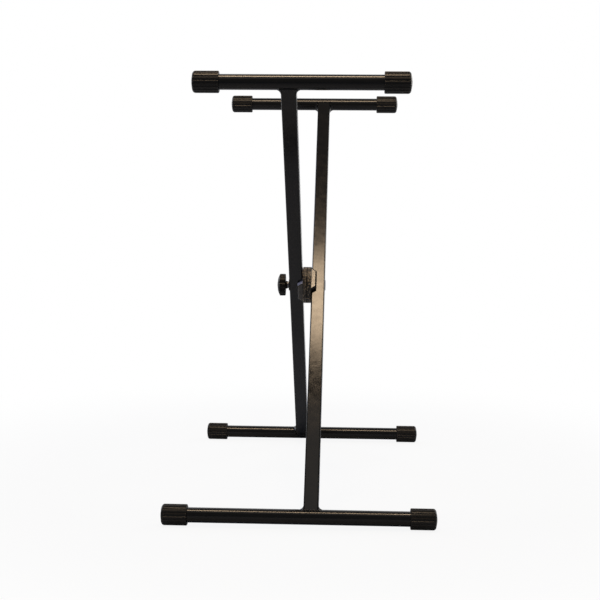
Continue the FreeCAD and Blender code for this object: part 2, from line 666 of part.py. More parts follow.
def make_washer(name, diameter, thickness, across, rotation="rotationx(0)"):
    """Flat washer round the bolt."""
    outer = f"{diameter} / 2"
    bore = "Sizes.washer_bore / 2"
    turned(name, [("0", bore), ("0", outer), (thickness, outer), (thickness, bore)],
           at(across, rotation=rotation))


def make_insert(name):
    """Threaded metal insert: a bare collar on the washer, and a stem inside the knob."""
    bore = "Places.running_bore / 2"
    stem_end = "Sizes.collar_length + Sizes.insert_length"
    turned(name, [("0", bore), ("0", "Sizes.collar_diameter / 2"),
                  ("Sizes.collar_length", "Sizes.collar_diameter / 2"),
                  ("Sizes.collar_length", "Sizes.insert_diameter / 2"),
                  (stem_end, "Sizes.insert_diameter / 2"), (stem_end, bore)],
           at("-Places.knob_seat", rotation=FACE_LEFT))


def make_knob(name):
    """Round knob with a neck, a domed face and finger hollows round its rim."""
    rim = "Sizes.knob_diameter / 2"
    neck = "Sizes.knob_hub / 2"
    stem = "Sizes.insert_diameter / 2"
    well = "Places.running_bore / 2"
    shoulder = f"({rim} - Sizes.knob_edge)"
    dome = f"(({shoulder})^2 + Sizes.knob_dome^2) / (2 * Sizes.knob_dome)"
    stem_end = "Sizes.collar_length + Sizes.insert_length"
    well_end = "Places.knob_tip - Sizes.knob_skin"
    body = turned(name, [
        ("Sizes.collar_length", stem), ("Sizes.collar_length", neck), ("Places.knob_back", neck),
        ("Places.knob_back", shoulder), ("Places.knob_back + Sizes.knob_edge", rim),
        ("Places.knob_front - Sizes.knob_edge", rim), ("Places.knob_front", shoulder),
        ("Places.knob_tip", "0"), (well_end, "0"), (well_end, well), (stem_end, well), (stem_end, stem)],
        at("-Places.knob_seat", rotation=FACE_LEFT),
        arcs={3: "Sizes.knob_edge", 5: "Sizes.knob_edge", 6: dome})
    hollow = new_sketch(body, "YZ_Plane", "hollow")
    circle(hollow, "Sizes.lobe_diameter", up=f"{rim} + Sizes.lobe_diameter / 2 - Sizes.lobe_depth")
    polar(body, pocket(body, hollow, "finger_hollow"), "finger_hollows", "Sizes.lobe_count")


# The whole stand

def make_stand():
    """Every sub-part; pieces that are the same are made once and cloned."""
    right = at(rotation=RIGHT_TURN)
    left = at(rotation=LEFT_TURN)
    leg = make_leg("right_leg", at("Places.leg_center", rotation=RIGHT_TURN))
    clone(leg, "left_leg", at("-Places.leg_center", rotation=LEFT_TURN))
    high = "Places.pivot_height + Places.rise"
    low = "Places.pivot_height - Places.rise"
    bars = [
        ("near_top", "top", "-Places.spread", high, "-Places.leg_center", "180 + Sizes.half_angle"),
        ("far_top", "top", "Places.spread", high, "Places.leg_center", "180 - Sizes.half_angle"),
        ("near_base", "base", "-Places.spread", low, "Places.leg_center", "-Sizes.half_angle"),
        ("far_base", "base", "Places.spread", low, "-Places.leg_center", "Sizes.half_angle"),
    ]
    weld = None
    cap = None
    for place, kind, along, up, leg_center, weld_turn in bars:
        length = f"Sizes.{kind}_bar_length"
        make_bar(f"{place}_bar", length, at("0", along, up))
        weld_place = at(leg_center, along, up, f"rotationx({weld_turn})")
        if weld:
            clone(weld, f"{place}_weld", weld_place)
        else:
            weld = make_weld(f"{place}_weld", weld_place)
        mouth = f"({length} / 2 + Sizes.cap_end_wall - Sizes.cap_length)"
        for side, sign, rotation in (("left", "-", FACE_LEFT), ("right", "", "rotationz(0)")):
            cap_place = at(f"{sign}{mouth}", along, up, rotation)
            if cap:
                clone(cap, f"{place}_cap_{side}", cap_place)
            else:
                cap = make_cap(f"{place}_cap_{side}", cap_place)
    half = make_clutch_half("right_clutch_half", right)
    clone(half, "left_clutch_half", left)
    make_screws("right_clutch_screws", right)
    make_screws("left_clutch_screws", left)
    make_spring("clutch_spring")
    make_washer("spring_seat", "Sizes.seat_diameter", "Sizes.seat_thickness", "-Places.pocket_floor")
    make_bolt("pivot_bolt")
    make_right_bush("right_pivot_bush")
    make_left_bush("left_pivot_bush")
    make_plug("hole_plug")
    make_washer("knob_washer", "Sizes.washer_diameter", "Sizes.washer_thickness", "-Places.leg_outer",
                rotation=FACE_LEFT)
    make_insert("knob_insert")
    make_knob("knob")


def check_and_write():
    """Stop at any failed object or bad shape, then write each sub-part to its own file."""
    doc.recompute()
    for item in doc.Objects:
        if "Invalid" in item.State or "Error" in item.State:
            raise RuntimeError(f"{item.Name}: {item.State}")
    for item in sub_parts:
        if item.Shape.isNull() or not item.Shape.isValid():
            raise RuntimeError(f"{item.Label}: bad shape")
    os.makedirs("parts", exist_ok=True)
    for item in sub_parts:
        item.Shape.exportStep(f"parts/{item.Label}.step")


fill_sheets()
make_stand()
check_and_write()
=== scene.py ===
import bmesh
import bpy
import math
from mathutils import Euler, Matrix, Vector


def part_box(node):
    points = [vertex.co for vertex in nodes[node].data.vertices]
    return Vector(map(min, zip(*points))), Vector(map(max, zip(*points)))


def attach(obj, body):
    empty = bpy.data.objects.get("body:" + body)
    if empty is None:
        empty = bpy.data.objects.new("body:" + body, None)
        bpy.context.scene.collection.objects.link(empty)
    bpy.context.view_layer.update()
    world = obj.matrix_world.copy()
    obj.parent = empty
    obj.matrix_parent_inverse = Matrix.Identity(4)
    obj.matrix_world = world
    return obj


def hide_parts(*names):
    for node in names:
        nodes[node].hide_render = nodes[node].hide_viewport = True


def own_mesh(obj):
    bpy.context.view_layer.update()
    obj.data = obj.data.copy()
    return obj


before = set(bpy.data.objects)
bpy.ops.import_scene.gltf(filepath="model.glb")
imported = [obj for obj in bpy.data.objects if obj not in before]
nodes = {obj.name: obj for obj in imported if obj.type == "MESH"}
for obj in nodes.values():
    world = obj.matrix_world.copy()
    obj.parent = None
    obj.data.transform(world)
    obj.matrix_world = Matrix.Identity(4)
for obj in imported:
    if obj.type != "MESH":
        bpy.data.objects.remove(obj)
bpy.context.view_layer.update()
MM = 0.001

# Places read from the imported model
PLACES = ("near_top", "far_top", "near_base", "far_base")
BODY_OF_PLACE = {"near_top": "left_frame", "far_top": "right_frame",
                 "near_base": "right_frame", "far_base": "left_frame"}
LEG_OF_PLACE = {"near_top": "left_leg", "far_top": "right_leg",
                "near_base": "right_leg", "far_base": "left_leg"}
ACROSS = Vector((1, 0, 0))


def middle_of(node):
    """Middle of a node's box."""
    low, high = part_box(node)
    return (low + high) / 2


def size_of(node):
    """Size of a node's box."""
    low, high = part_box(node)
    return high - low


PIVOT = middle_of("pivot_bolt")
BAR_RADIUS = size_of("near_top_bar").z / 2
LEG_HALF = size_of("left_leg").x / 2
DISC_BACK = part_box("right_leg")[0].x


def way_to(place):
    """Way along a leg, from the pivot to the bar at a place."""
    bar = middle_of(f"{place}_bar")
    return Vector((0, bar.y - PIVOT.y, bar.z - PIVOT.z)).normalized()


# Middle of the upper end of the left half's near ear, where the painted highlight sits, and the way that
# end faces
EAR_HEIGHT = 9.5 * MM
EAR_RAKE = 7.0 * MM
EAR_TIP = 2.4 * MM
EAR_FOOT = 25.5 * MM
LEG_UP = way_to("near_top")
EAR_END = Vector((-(DISC_BACK + EAR_HEIGHT / 2), PIVOT.y, PIVOT.z)) + LEG_UP * (EAR_FOOT - EAR_RAKE / 2)
EAR_END_FACING = (LEG_UP * EAR_HEIGHT - ACROSS * EAR_RAKE).normalized()


# Nodes of a material

COLOURS = "RGBA"
VALUES = "FLOAT"
SOFT_STEP = 0.3 * MM


def new_material(name, specular, metallic=0.0):
    """Material with its node tree and its main shader."""
    material = bpy.data.materials.new(name)
    material.use_nodes = True
    tree = material.node_tree
    shader = tree.nodes["Principled BSDF"]
    shader.inputs["Specular IOR Level"].default_value = specular
    shader.inputs["Metallic"].default_value = metallic
    return material, tree, shader


def set_surface(tree, shader, colour, roughness, normal):
    """Colour, roughness and normal of a shader, each from its node."""
    tree.links.new(colour, shader.inputs["Base Color"])
    tree.links.new(roughness, shader.inputs["Roughness"])
    tree.links.new(normal, shader.inputs["Normal"])


def noise(tree, cells, detail, stretch=(1, 1, 1)):
    """Noise that rides with the piece, in cells per metre."""
    place = tree.nodes.new("ShaderNodeTexCoord")
    mapping = tree.nodes.new("ShaderNodeMapping")
    mapping.inputs["Scale"].default_value = stretch
    texture = tree.nodes.new("ShaderNodeTexNoise")
    texture.inputs["Scale"].default_value = cells
    texture.inputs["Detail"].default_value = detail
    tree.links.new(place.outputs["Object"], mapping.inputs["Vector"])
    tree.links.new(mapping.outputs["Vector"], texture.inputs["Vector"])
    return texture.outputs["Fac"]


def spots(tree, cells):
    """Distance to the nearest of many scattered spots, in spots per metre."""
    place = tree.nodes.new("ShaderNodeTexCoord")
    texture = tree.nodes.new("ShaderNodeTexVoronoi")
    texture.inputs["Scale"].default_value = cells
    tree.links.new(place.outputs["Object"], texture.inputs["Vector"])
    return texture.outputs["Distance"]


def ramp(tree, factor, tones):
    """Colours along a factor, from (share, colour) tones."""
    node = tree.nodes.new("ShaderNodeValToRGB")
    elements = node.color_ramp.elements
    while len(elements) < len(tones):
        elements.new(1.0)
    for element, (share, colour) in zip(elements, tones):
        element.position = share
        element.color = (*colour, 1.0)
    tree.links.new(factor, node.inputs["Fac"])
    return node.outputs["Color"]


def spread(tree, factor, low, high, from_low=0.3, from_high=0.7, kind="LINEAR"):
    """Factor stretched to run between two values."""
    node = tree.nodes.new("ShaderNodeMapRange")
    node.interpolation_type = kind
    node.inputs["From Min"].default_value = from_low
    node.inputs["From Max"].default_value = from_high
    node.inputs["To Min"].default_value = low
    node.inputs["To Max"].default_value = high
    tree.links.new(factor, node.inputs["Value"])
    return node.outputs["Result"]


def blend(tree, kind, factor, below, above):
    """One colour or value over another by a factor."""
    node = tree.nodes.new("ShaderNodeMix")
    node.data_type = kind
    tree.links.new(factor, node.inputs["Factor"])
    tree.links.new(below, node.inputs["A"])
    tree.links.new(above, node.inputs["B"])
    return node.outputs["Result"]


def combine(tree, operation, one, two):
    """Two values put together by an operation."""
    node = tree.nodes.new("ShaderNodeMath")
    node.operation = operation
    tree.links.new(one, node.inputs[0])
    tree.links.new(two, node.inputs[1])
    return node.outputs["Value"]


def bump(tree, height, strength, depth, below=None):
    """Normal that follows a height, by a set or linked strength, over another normal if one is given."""
    node = tree.nodes.new("ShaderNodeBump")
    if isinstance(strength, bpy.types.NodeSocket):
        tree.links.new(strength, node.inputs["Strength"])
    else:
        node.inputs["Strength"].default_value = strength
    node.inputs["Distance"].default_value = depth
    tree.links.new(height, node.inputs["Height"])
    if below:
        tree.links.new(below, node.inputs["Normal"])
    return node.outputs["Normal"]


def beyond(tree, edge):
    """0 nearer to the middle plane than an edge and 1 beyond it, with a soft step."""
    place = tree.nodes.new("ShaderNodeTexCoord")
    axes = tree.nodes.new("ShaderNodeSeparateXYZ")
    tree.links.new(place.outputs["Object"], axes.inputs["Vector"])
    distance = tree.nodes.new("ShaderNodeMath")
    distance.operation = "ABSOLUTE"
    tree.links.new(axes.outputs["X"], distance.inputs[0])
    return spread(tree, distance.outputs["Value"], 0.0, 1.0, edge - SOFT_STEP, edge + SOFT_STEP)


def on_ear_end(tree):
    """1 on the flat upper ends of the left clutch half's ears, where the painted highlight goes, 0
    elsewhere on them.
    """
    place = tree.nodes.new("ShaderNodeTexCoord")
    away = tree.nodes.new("ShaderNodeVectorMath")
    away.operation = "SUBTRACT"
    away.inputs[1].default_value = EAR_END
    tree.links.new(place.outputs["Object"], away.inputs[0])
    height = tree.nodes.new("ShaderNodeVectorMath")
    height.operation = "DOT_PRODUCT"
    height.inputs[1].default_value = EAR_END_FACING
    tree.links.new(away.outputs["Vector"], height.inputs[0])
    flush = spread(tree, height.outputs["Value"], 0.0, 1.0, -SOFT_STEP, -SOFT_STEP / 2)
    return combine(tree, "MULTIPLY", flush, beyond(tree, DISC_BACK))


# Materials: tones as (share of the noise, colour), and depths of bumps

PAINT_TONES = ((0.3, (0.0026, 0.0024, 0.0024)), (0.55, (0.0036, 0.0033, 0.0032)),
               (0.8, (0.0055, 0.0049, 0.0046)))
DUST_TONES = ((0.45, (0.004, 0.004, 0.004)), (0.75, (0.030, 0.027, 0.024)))
RUBBER_TONES = ((0.35, (0.0030, 0.0027, 0.0025)), (0.7, (0.0055, 0.0049, 0.0044)))
RUBBED_TONES = ((0.35, (0.0052, 0.0045, 0.0040)), (0.7, (0.0110, 0.0095, 0.0082)))
# Disc speckle: the darker tones are the casting's own speckle; the bright, lamp-tinted top tone is painted
# glints
DISC_SPECKLE_AND_GLINT_TONES = ((0.42, (0.0060, 0.0050, 0.0040)), (0.54, (0.0280, 0.0225, 0.0170)),
              (0.66, (0.2000, 0.1560, 0.1090)))
CLEAN_EAR_TONES = ((0.35, (0.0070, 0.0062, 0.0056)), (0.7, (0.0120, 0.0104, 0.0090)))
# Lighter ear tones for the left clutch half only: painted sheen, a lit copy of the right half's ear colour
PAINTED_SHEEN_EAR_TONES = ((0.35, (0.042, 0.036, 0.030)), (0.7, (0.064, 0.055, 0.046)))
# Pale bluish tones: a painted highlight of cool light on the left half's upper ear ends
PAINTED_HIGHLIGHT_TONES = ((0.3, (0.44, 0.45, 0.64)), (0.7, (0.66, 0.67, 0.90)))
# Near-black tones: painted shade on the right half's ear tips, where a dark outline falls
PAINTED_SHADE_TONES = ((0.3, (0.0016, 0.0014, 0.0012)), (0.7, (0.0030, 0.0026, 0.0022)))
KNOB_TONES = ((0.3, (0.0036, 0.0032, 0.0029)), (0.7, (0.0070, 0.0060, 0.0053)))
ZINC_TONES = ((0.3, (0.10, 0.105, 0.12)), (0.7, (0.16, 0.165, 0.18)))
OXIDE_TONES = ((0.3, (0.018, 0.017, 0.017)), (0.7, (0.040, 0.037, 0.034)))
ACETAL_TONES = ((0.3, (0.020, 0.020, 0.021)), (0.7, (0.034, 0.034, 0.035)))
WAVE_DEPTH = 1.0 * MM
PEEL_DEPTH = 0.12 * MM
PAINT_GRAIN_DEPTH = 0.04 * MM
CASTING_DEPTH = 0.60 * MM
PEBBLE_DEPTH = 0.08 * MM
GRAIN_DEPTH = 0.05 * MM
CREST = "crest"


def make_paint(name, peel_strength, patch_cells, rough_low, rough_high):
    """Black powder coat: slow drift of tone, waves, orange peel, fine grain and a few specks of dust."""
    material, tree, shader = new_material(name, specular=0.22)
    coat = ramp(tree, noise(tree, cells=45, detail=4.0), PAINT_TONES)
    specks = spread(tree, spots(tree, cells=160), low=1.0, high=0.0, from_low=0.02, from_high=0.07)
    dust = ramp(tree, noise(tree, cells=300, detail=2.0), DUST_TONES)
    waves = bump(tree, noise(tree, cells=75, detail=2.0), peel_strength, WAVE_DEPTH)
    peel = bump(tree, noise(tree, cells=420, detail=1.0), peel_strength, PEEL_DEPTH, waves)
    grain = bump(tree, noise(tree, cells=1900, detail=3.0), peel_strength / 2, PAINT_GRAIN_DEPTH, peel)
    patches = spread(tree, noise(tree, cells=patch_cells, detail=2.0), rough_low, rough_high)
    set_surface(tree, shader, blend(tree, COLOURS, specks, coat, dust), patches, grain)
    return material


def make_rubber():
    """Matte moulded rubber, with paler, rubbed rib crests and a dusty grain."""
    material, tree, shader = new_material("ribbed_rubber", specular=0.22)
    crest = tree.nodes.new("ShaderNodeAttribute")
    crest.attribute_name = CREST
    body = ramp(tree, noise(tree, cells=120, detail=4.0), RUBBER_TONES)
    rubbed = ramp(tree, noise(tree, cells=420, detail=4.0), RUBBED_TONES)
    rough = spread(tree, noise(tree, cells=260, detail=3.0), low=0.36, high=0.48)
    grain = bump(tree, noise(tree, cells=1500, detail=4.0), strength=0.15, depth=GRAIN_DEPTH)
    set_surface(tree, shader, blend(tree, COLOURS, crest.outputs["Fac"], body, rubbed), rough, grain)
    return material


def make_clutch_finish(name, lit_copy):
    """Coated casting, speckled disc with painted glints, and smooth ears: a lit copy with painted sheen on
    the ears and a painted highlight on their upper ends, or a plain copy with painted shade on the ear
    tips.
    """
    material, tree, shader = new_material(name, specular=0.28)
    ears = beyond(tree, DISC_BACK)
    # speckled disc colour, with painted glints in its brightest spots
    disc = ramp(tree, noise(tree, cells=430, detail=2.0), DISC_SPECKLE_AND_GLINT_TONES)
    ear = ramp(tree, noise(tree, cells=150, detail=4.0), PAINTED_SHEEN_EAR_TONES if lit_copy else CLEAN_EAR_TONES)
    colour = blend(tree, COLOURS, ears, disc, ear)
    coarse = spread(tree, noise(tree, cells=500, detail=3.0), low=0.38, high=0.58)
    fine = spread(tree, noise(tree, cells=500, detail=3.0), low=0.16, high=0.24)
    rough = blend(tree, VALUES, ears, coarse, fine)
    if lit_copy:
        # painted bluish highlight on the upper ear ends
        painted_highlight = ramp(tree, noise(tree, cells=700, detail=4.0), PAINTED_HIGHLIGHT_TONES)
        colour = blend(tree, COLOURS, on_ear_end(tree), colour, painted_highlight)
    else:
        # painted shade on the ear tips, made matte so no highlight shows there
        shaded_tips = beyond(tree, DISC_BACK + EAR_HEIGHT - EAR_TIP)
        painted_shade = ramp(tree, noise(tree, cells=500, detail=3.0), PAINTED_SHADE_TONES)
        matte = spread(tree, noise(tree, cells=500, detail=3.0), low=0.80, high=0.95)
        colour = blend(tree, COLOURS, shaded_tips, colour, painted_shade)
        rough = blend(tree, VALUES, shaded_tips, rough, matte)
    on_discs = spread(tree, ears, low=0.8, high=0.03, from_low=0.0, from_high=1.0)
    casting = bump(tree, noise(tree, cells=310, detail=2.0), on_discs, CASTING_DEPTH)
    grain = bump(tree, noise(tree, cells=1600, detail=2.0), strength=0.08, depth=GRAIN_DEPTH, below=casting)
    set_surface(tree, shader, colour, rough, grain)
    return material


def make_knob_plastic():
    """Satin moulded plastic with a fine pebble grain."""
    material, tree, shader = new_material("knob_plastic", specular=0.10)
    tone = ramp(tree, noise(tree, cells=200, detail=4.0), KNOB_TONES)
    rough = spread(tree, noise(tree, cells=600, detail=3.0), low=0.36, high=0.50)
    pebbles = spots(tree, cells=1500)
    set_surface(tree, shader, tone, rough, bump(tree, pebbles, strength=0.16, depth=PEBBLE_DEPTH))
    return material


def make_zinc():
    """Bright zinc plate: turned lines round the pivot axis and cloudy tone."""
    material, tree, shader = new_material("zinc_plate", specular=0.5, metallic=1.0)
    tone = ramp(tree, noise(tree, cells=400, detail=4.0), ZINC_TONES)
    rough = spread(tree, noise(tree, cells=700, detail=3.0), low=0.34, high=0.48)
    lines = noise(tree, cells=60, detail=2.0, stretch=(60, 1, 1))
    set_surface(tree, shader, tone, rough, bump(tree, lines, strength=0.12, depth=GRAIN_DEPTH))
    return material


def make_oxide():
    """Black oxide on a pressed steel washer."""
    material, tree, shader = new_material("black_oxide", specular=0.5, metallic=0.7)
    tone = ramp(tree, noise(tree, cells=350, detail=4.0), OXIDE_TONES)
    rough = spread(tree, noise(tree, cells=800, detail=3.0), low=0.34, high=0.50)
    grain = noise(tree, cells=1200, detail=3.0)
    set_surface(tree, shader, tone, rough, bump(tree, grain, strength=0.12, depth=GRAIN_DEPTH))
    return material


def make_acetal():
    """Dark, waxy bush plastic with machining lines."""
    material, tree, shader = new_material("bush_acetal", specular=0.45)
    tone = ramp(tree, noise(tree, cells=250, detail=3.0), ACETAL_TONES)
    rough = spread(tree, noise(tree, cells=500, detail=3.0), low=0.30, high=0.44)
    lines = noise(tree, cells=80, detail=2.0, stretch=(40, 1, 1))
    set_surface(tree, shader, tone, rough, bump(tree, lines, strength=0.10, depth=GRAIN_DEPTH))
    return material


BAR_PAINT = make_paint("bar_powder_coat", peel_strength=0.005, patch_cells=320,
                       rough_low=0.15, rough_high=0.18)
LEG_PAINT = make_paint("leg_powder_coat", peel_strength=0.05, patch_cells=85,
                       rough_low=0.13, rough_high=0.18)
RUBBER = make_rubber()
# The right half has painted shade on its ear tips; the left half is the lit copy, with painted sheen on its
# ears and a painted highlight on their upper ends.
CLUTCH = make_clutch_finish("clutch_coat", lit_copy=False)
LIT_CLUTCH = make_clutch_finish("clutch_coat_cut_ends", lit_copy=True)
KNOB_PLASTIC = make_knob_plastic()
ZINC = make_zinc()
OXIDE = make_oxide()
ACETAL = make_acetal()


def dress(material, *names):
    """Give CAD nodes a material."""
    for name in names:
        materials = nodes[name].data.materials
        materials.clear()
        materials.append(material)


dress(LEG_PAINT, "left_leg", "right_leg")
dress(BAR_PAINT, *[f"{place}_bar" for place in PLACES])
dress(CLUTCH, "right_clutch_half")
dress(LIT_CLUTCH, "left_clutch_half")
dress(KNOB_PLASTIC, "hole_plug")
dress(ACETAL, "left_pivot_bush", "right_pivot_bush")
dress(OXIDE, "knob_washer")
dress(ZINC, "pivot_bolt", "spring_seat", "knob_insert", "left_clutch_screws", "right_clutch_screws")


# Meshes

SHARP_ANGLE = math.radians(40)
FULL_TURN = 2 * math.pi


def skin(name, rings, material):
    """Smooth mesh over rings of points, with a point in the middle of each end."""
    shape = bmesh.new()
    loops = [[shape.verts.new(spot) for spot in ring] for ring in rings]
    count = len(loops[0])
    for one, two in zip(loops, loops[1:]):
        for index in range(count):
            after = (index + 1) % count
            shape.faces.new((one[index], one[after], two[after], two[index]))
    for loop in (loops[0], loops[-1]):
        centre = shape.verts.new(sum((vert.co for vert in loop), Vector()) / count)
        for index in range(count):
            shape.faces.new((loop[index], loop[(index + 1) % count], centre))
    bmesh.ops.recalc_face_normals(shape, faces=shape.faces)
    mesh = bpy.data.meshes.new(name)
    shape.to_mesh(mesh)
    shape.free()
    mesh.shade_smooth()
    mesh.set_sharp_from_angle(angle=SHARP_ANGLE)
    mesh.materials.append(material)
    return mesh


def place_piece(name, mesh, matrix, body, replaced):
    """Piece from a mesh, set in its place, which rides on a body and stands for a CAD node."""
    piece = bpy.data.objects.new(name, mesh)
    bpy.context.scene.collection.objects.link(piece)
    piece.matrix_world = matrix
    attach(piece, body)
    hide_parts(replaced)
    return piece


def smooth_step(share):
    """Smooth rise from 0 to 1."""
    share = min(max(share, 0.0), 1.0)
    return share * share * (3 - 2 * share)


def pitch_share(point, count):
    """Place of a point within its pitch, from -0.5 to 0.5, with the first point in the middle."""
    return (point / count + 0.5) % 1.0 - 0.5


def quarter_turns(steps):
    """Angles from 0 to a quarter turn."""
    return [math.radians(90 * step / steps) for step in range(steps + 1)]


def ring_at(along, radii):
    """Ring round the X axis, from straight up, one radius for each point."""
    count = len(radii)
    turns = [FULL_TURN * index / count for index in range(count)]
    return [(along, radius * math.sin(turn), radius * math.cos(turn)) for turn, radius in zip(turns, radii)]


# Rubber caps: twenty soft-edged ribs that run out over a rounded nose
RIB_COUNT = 20
RIB_POINTS = 12
RIB_HEIGHT = 1.1 * MM
RIB_CREST_HALF = 1.0 * MM
RIB_FOOT_HALF = 1.9 * MM
CAP_LIP = 1.4 * MM
CAP_LIP_STEPS = 4
CAP_STRAIGHT_STEPS = 6
CAP_DOME = 1.6 * MM
CAP_NOSE_LENGTH = 5.0 * MM
CAP_NOSE_DROP = 5.5 * MM
CAP_NOSE_STEPS = 8
CAP_GROOVE = 0.4 * MM
CAP_END_WALL = 5.0 * MM
# Rings on the cap's end: share of its radius, and share of the groove's depth there
CAP_END_SHARES = ((0.95, 0), (0.85, 0), (0.75, 0), (0.7, 1), (0.64, 1), (0.59, 0), (0.4, 0), (0.2, 0))


def rib_shares(crest):
    """Height of the ribs at each point round a cap, as a share."""
    pitch = FULL_TURN * crest / RIB_COUNT
    shares = []
    for point in range(RIB_POINTS):
        off = abs(pitch_share(point, RIB_POINTS)) * pitch
        shares.append(smooth_step((RIB_FOOT_HALF - off) / (RIB_FOOT_HALF - RIB_CREST_HALF)))
    return shares * RIB_COUNT


def cap_stations(length, crest):
    """Places along a cap's outside with the radius there: rounded lip, straight part and nose."""
    stations = []
    for turn in reversed(quarter_turns(CAP_LIP_STEPS)):
        stations.append((CAP_LIP * (1 - math.sin(turn)), crest - CAP_LIP * (1 - math.cos(turn))))
    straight_end = length - CAP_DOME - CAP_NOSE_LENGTH
    for step in range(1, CAP_STRAIGHT_STEPS + 1):
        stations.append((CAP_LIP + (straight_end - CAP_LIP) * step / CAP_STRAIGHT_STEPS, crest))
    for turn in quarter_turns(CAP_NOSE_STEPS)[1:]:
        along = straight_end + CAP_NOSE_LENGTH * math.sin(turn)
        stations.append((along, crest - CAP_NOSE_DROP * (1 - math.cos(turn))))
    return stations


def make_cap_mesh():
    """Cap along its own X axis, from its mouth, with the wear of its rib crests."""
    size = size_of("near_top_cap_right")
    length = size.x
    crest = size.z / 2
    core = crest - RIB_HEIGHT
    shares = rib_shares(crest)
    count = len(shares)
    rings = [ring_at(along, [BAR_RADIUS] * count) for along in (length - CAP_END_WALL, 0)]
    wear = [0.0] * (len(rings) * count)
    for along, radius in cap_stations(length, crest):
        foot = min(core, radius)
        rings.append(ring_at(along, [foot + (radius - foot) * share for share in shares]))
        wear += [share if radius > core else 0.0 for share in shares]
    shoulder = crest - CAP_NOSE_DROP
    for reach_share, groove_share in CAP_END_SHARES:
        along = length - CAP_DOME * reach_share ** 2 - CAP_GROOVE * groove_share
        rings.append(ring_at(along, [shoulder * reach_share] * count))
    mesh = skin("ribbed_cap", rings, RUBBER)
    wear += [0.0] * (len(mesh.vertices) - len(wear))
    attribute = mesh.attributes.new(CREST, "FLOAT", "POINT")
    attribute.data.foreach_set("value", wear)
    return mesh


def make_caps():
    """One cap mesh, set on the eight bar ends."""
    mesh = make_cap_mesh()
    for place in PLACES:
        for side, turn in (("left", math.pi), ("right", 0.0)):
            node = f"{place}_cap_{side}"
            low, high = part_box(node)
            middle = middle_of(node)
            mouth = Vector((high.x if turn else low.x, middle.y, middle.z))
            matrix = Matrix.Translation(mouth) @ Matrix.Rotation(turn, 4, "Z")
            place_piece(f"{node}_ribbed", mesh, matrix, BODY_OF_PLACE[place], node)


# Welds: a rippled fillet up each side of the leg, and a rippled bead across its front and back
WELD_LEG = 6.0 * MM
WELD_HOLLOW_SHARE = 0.32
WELD_SWEEP = math.radians(118)
WELD_INSET = 0.3 * MM
LEAST_SINE = 0.1
RIPPLE_COUNT = 22
RIPPLE_POINTS = 6
RIPPLE_STEPS = RIPPLE_COUNT * RIPPLE_POINTS
RIPPLE = 0.22 * MM
FILLET_POINTS = 8
BEAD_RADIUS = 2.3 * MM
BEAD_ANGLE = math.radians(64)
BEAD_PROUD = 0.3 * MM
BEAD_POINTS = 16
BEAD_REACH = LEG_HALF + WELD_LEG / 2
BEAD_LEAST_SHARE = 0.02


def ripple(step):
    """Height of the weld's overlapping scales at a step along it, as a share."""
    return 1 - ((step / RIPPLE_POINTS) % 1.0) ** 2


def side_fillet(sign):
    """Rings of the fillet on one side of a leg: its hollow face, then back along leg and bar."""
    rings = []
    for step in range(RIPPLE_STEPS + 1):
        turn = WELD_SWEEP * (step / RIPPLE_STEPS - 0.5)
        room = LEG_HALF / max(abs(math.sin(turn)), LEAST_SINE) - BAR_RADIUS
        leg = min(WELD_LEG, room)
        ring = []
        for point in range(FILLET_POINTS + 1):
            share = point / FILLET_POINTS
            hollow = math.sin(math.pi * share)
            dip = (WELD_HOLLOW_SHARE * leg / math.sqrt(2) - RIPPLE * ripple(step)) * hollow
            across = LEG_HALF + leg * (1 - share) - dip / math.sqrt(2)
            out = BAR_RADIUS + leg * share - dip / math.sqrt(2)
            ring.append((across, out))
        ring.append((LEG_HALF - WELD_INSET, BAR_RADIUS + leg))
        ring.append((LEG_HALF - WELD_INSET, BAR_RADIUS - WELD_INSET))
        ring.append((LEG_HALF + leg, BAR_RADIUS - WELD_INSET))
        rings.append([(sign * across, out * math.sin(turn), out * math.cos(turn)) for across, out in ring])
    return rings


def bead_share(across):
    """Share of the bead's radius at a place across the leg: all of it on the leg, rounded off past it."""
    past = max(abs(across) - LEG_HALF, 0.0) / (BEAD_REACH - LEG_HALF)
    return math.sqrt(max(1 - past ** 2, BEAD_LEAST_SHARE))


def front_bead(sign):
    """Rings of the bead across one face of a leg."""
    rings = []
    out = BAR_RADIUS + BEAD_PROUD
    for step in range(RIPPLE_STEPS + 1):
        across = BEAD_REACH * (2 * step / RIPPLE_STEPS - 1)
        radius = (BEAD_RADIUS - RIPPLE + RIPPLE * ripple(step)) * bead_share(across)
        ring = []
        for point in range(BEAD_POINTS):
            turn = FULL_TURN * point / BEAD_POINTS
            along = sign * (out * math.sin(BEAD_ANGLE) + radius * math.sin(turn))
            up = out * math.cos(BEAD_ANGLE) + radius * math.cos(turn)
            ring.append((across, along, up))
        rings.append(ring)
    return rings


def make_welds():
    """One weld mesh, set at the four joints of leg and bar."""
    shape = bmesh.new()
    for rings in (side_fillet(1), side_fillet(-1), front_bead(1), front_bead(-1)):
        part = skin("weld_part", rings, LEG_PAINT)
        shape.from_mesh(part)
        bpy.data.meshes.remove(part)
    mesh = bpy.data.meshes.new("rippled_weld")
    shape.to_mesh(mesh)
    shape.free()
    mesh.materials.append(LEG_PAINT)
    for place in PLACES:
        node = f"{place}_weld"
        bar = middle_of(f"{place}_bar")
        up = -way_to(place)
        turn = Matrix((ACROSS, up.cross(ACROSS), up)).transposed().to_4x4()
        corner = Vector((middle_of(LEG_OF_PLACE[place]).x, bar.y, bar.z))
        matrix = Matrix.Translation(corner) @ turn
        place_piece(f"{node}_rippled", mesh, matrix, BODY_OF_PLACE[place], node)


